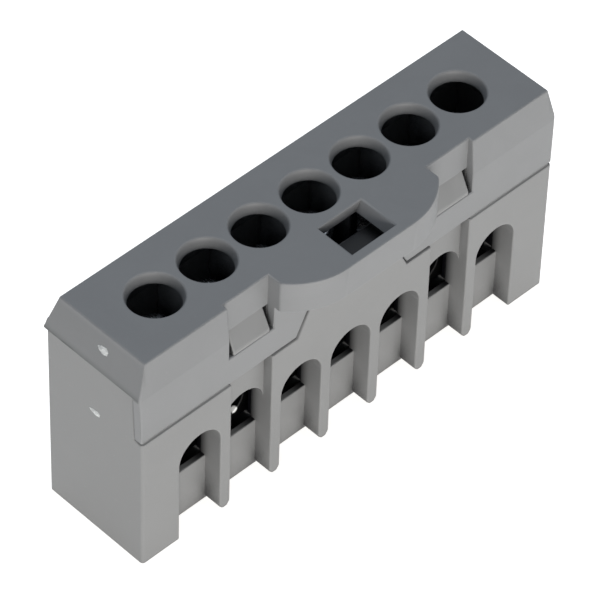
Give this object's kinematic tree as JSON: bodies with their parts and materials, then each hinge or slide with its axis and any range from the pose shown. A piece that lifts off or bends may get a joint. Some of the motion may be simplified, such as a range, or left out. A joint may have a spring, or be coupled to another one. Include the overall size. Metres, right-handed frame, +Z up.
{
  "type": "power distribution block",
  "caption": "Insulated terminal block: grey moulded base with arched wire openings, clip-on cover with screwdriver wells, one brass bar and screw clamps inside.",
  "frame": {"origin": "on the underside, under the middle of the outer box, which takes in the front bulge", "axes": "+X along the row of terminals, -Y towards the side the wires enter, +Z up out of the screwdriver wells"},
  "size_m": [0.0748, 0.023, 0.0368],
  "materials": {
    "base_moulding": "fine satin moulding, light grey",
    "cover_moulding": "fine satin moulding, light grey",
    "brass": "dull nickel plating",
    "screw_steel": "zinc plated",
    "pad_steel": "zinc plated"
  },
  "bodies": {
    "block": {"base": "base_moulding", "cover": "cover_moulding", "terminal_bar": "brass"},
    "pad_1": {"pressure_pad_1": "pad_steel"},
    "screw_1": {"clamp_screw_1": "screw_steel"},
    "pad_2": {"pressure_pad_2": "pad_steel"},
    "screw_2": {"clamp_screw_2": "screw_steel"},
    "pad_3": {"pressure_pad_3": "pad_steel"},
    "screw_3": {"clamp_screw_3": "screw_steel"},
    "pad_4": {"pressure_pad_4": "pad_steel"},
    "screw_4": {"clamp_screw_4": "screw_steel"},
    "pad_5": {"pressure_pad_5": "pad_steel"},
    "screw_5": {"clamp_screw_5": "screw_steel"},
    "pad_6": {"pressure_pad_6": "pad_steel"},
    "screw_6": {"clamp_screw_6": "screw_steel"},
    "pad_7": {"pressure_pad_7": "pad_steel"},
    "screw_7": {"clamp_screw_7": "screw_steel"}
  },
  "joints": [
    {"name": "pad_slide_1", "type": "slide", "parent": "block", "child": "pad_1", "axis": [0, 0, -1], "range_m": [0, 0.0048]},
    {"name": "screw_turn_1", "type": "hinge", "parent": "pad_1", "child": "screw_1", "pos_m": [-0.027, 0.0018, 0.0304], "axis": [0, 0, -1], "range_deg": [0, 1728]},
    {"name": "pad_slide_2", "type": "slide", "parent": "block", "child": "pad_2", "axis": [0, 0, -1], "range_m": [0, 0.0048]},
    {"name": "screw_turn_2", "type": "hinge", "parent": "pad_2", "child": "screw_2", "pos_m": [-0.018, 0.0018, 0.0304], "axis": [0, 0, -1], "range_deg": [0, 1728]},
    {"name": "pad_slide_3", "type": "slide", "parent": "block", "child": "pad_3", "axis": [0, 0, -1], "range_m": [0, 0.0048]},
    {"name": "screw_turn_3", "type": "hinge", "parent": "pad_3", "child": "screw_3", "pos_m": [-0.009, 0.0018, 0.0304], "axis": [0, 0, -1], "range_deg": [0, 1728]},
    {"name": "pad_slide_4", "type": "slide", "parent": "block", "child": "pad_4", "axis": [0, 0, -1], "range_m": [0, 0.0048]},
    {"name": "screw_turn_4", "type": "hinge", "parent": "pad_4", "child": "screw_4", "pos_m": [0, 0.0018, 0.0304], "axis": [0, 0, -1], "range_deg": [0, 1728]},
    {"name": "pad_slide_5", "type": "slide", "parent": "block", "child": "pad_5", "axis": [0, 0, -1], "range_m": [0, 0.0048]},
    {"name": "screw_turn_5", "type": "hinge", "parent": "pad_5", "child": "screw_5", "pos_m": [0.009, 0.0018, 0.0304], "axis": [0, 0, -1], "range_deg": [0, 1728]},
    {"name": "pad_slide_6", "type": "slide", "parent": "block", "child": "pad_6", "axis": [0, 0, -1], "range_m": [0, 0.0048]},
    {"name": "screw_turn_6", "type": "hinge", "parent": "pad_6", "child": "screw_6", "pos_m": [0.018, 0.0018, 0.0304], "axis": [0, 0, -1], "range_deg": [0, 1728]},
    {"name": "pad_slide_7", "type": "slide", "parent": "block", "child": "pad_7", "axis": [0, 0, -1], "range_m": [0, 0.0048]},
    {"name": "screw_turn_7", "type": "hinge", "parent": "pad_7", "child": "screw_7", "pos_m": [0.027, 0.0018, 0.0304], "axis": [0, 0, -1], "range_deg": [0, 1728]}
  ],
  "couplings": [
    {"joint": "screw_turn_1", "follows": "pad_slide_1", "rad_per_m": 6283.2},
    {"joint": "screw_turn_2", "follows": "pad_slide_2", "rad_per_m": 6283.2},
    {"joint": "screw_turn_3", "follows": "pad_slide_3", "rad_per_m": 6283.2},
    {"joint": "screw_turn_4", "follows": "pad_slide_4", "rad_per_m": 6283.2},
    {"joint": "screw_turn_5", "follows": "pad_slide_5", "rad_per_m": 6283.2},
    {"joint": "screw_turn_6", "follows": "pad_slide_6", "rad_per_m": 6283.2},
    {"joint": "screw_turn_7", "follows": "pad_slide_7", "rad_per_m": 6283.2}
  ]
}
